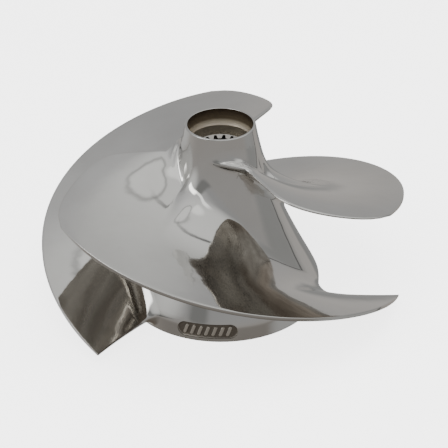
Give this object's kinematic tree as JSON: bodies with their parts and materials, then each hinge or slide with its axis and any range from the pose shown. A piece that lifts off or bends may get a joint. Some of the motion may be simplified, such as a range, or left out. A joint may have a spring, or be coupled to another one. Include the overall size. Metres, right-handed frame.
{
  "type": "jet pump impeller",
  "caption": "Polished stainless jet-pump impeller with swept helical blades, conical hub, splined drive bore and threaded pump-shaft boss.",
  "frame": {"origin": "centre of the aft rim's plane, on the rotor's axis", "axes": "+Z along the rotor's axis towards the nose, where the drive shaft enters; the name badge is on the -Y side"},
  "size_m": [0.1556, 0.1556, 0.0819],
  "materials": {
    "polished_steel": "mirror polished stainless steel",
    "machined_steel": "turned and broached stainless steel",
    "cast_steel": "blasted casting skin",
    "badge_steel": "dark textured recess",
    "bronze": "machined bearing bronze",
    "rubber": "moulded nitrile rubber"
  },
  "bodies": {
    "pump_side": {"thrust_washer": "bronze"},
    "rotor": {"nose_collar": "polished_steel", "hub_cone": "polished_steel", "aft_skirt": "polished_steel", "blade_1": "polished_steel", "blade_2": "polished_steel", "blade_3": "polished_steel", "spline_sleeve": "machined_steel", "thread_boss": "machined_steel", "web_1": "cast_steel", "web_2": "cast_steel", "web_3": "cast_steel", "name_badge": "badge_steel", "boss_o_ring": "rubber"},
    "damper": {"drive_damper": "rubber"}
  },
  "joints": [
    {"name": "rotor_spin", "type": "hinge", "parent": "pump_side", "child": "rotor", "pos_m": [0, 0, 0], "axis": [0, 0, 1], "continuous": true},
    {"name": "damper_lift", "type": "slide", "parent": "rotor", "child": "damper", "axis": [0, 0, 1], "range_m": [0, 0.055]}
  ]
}
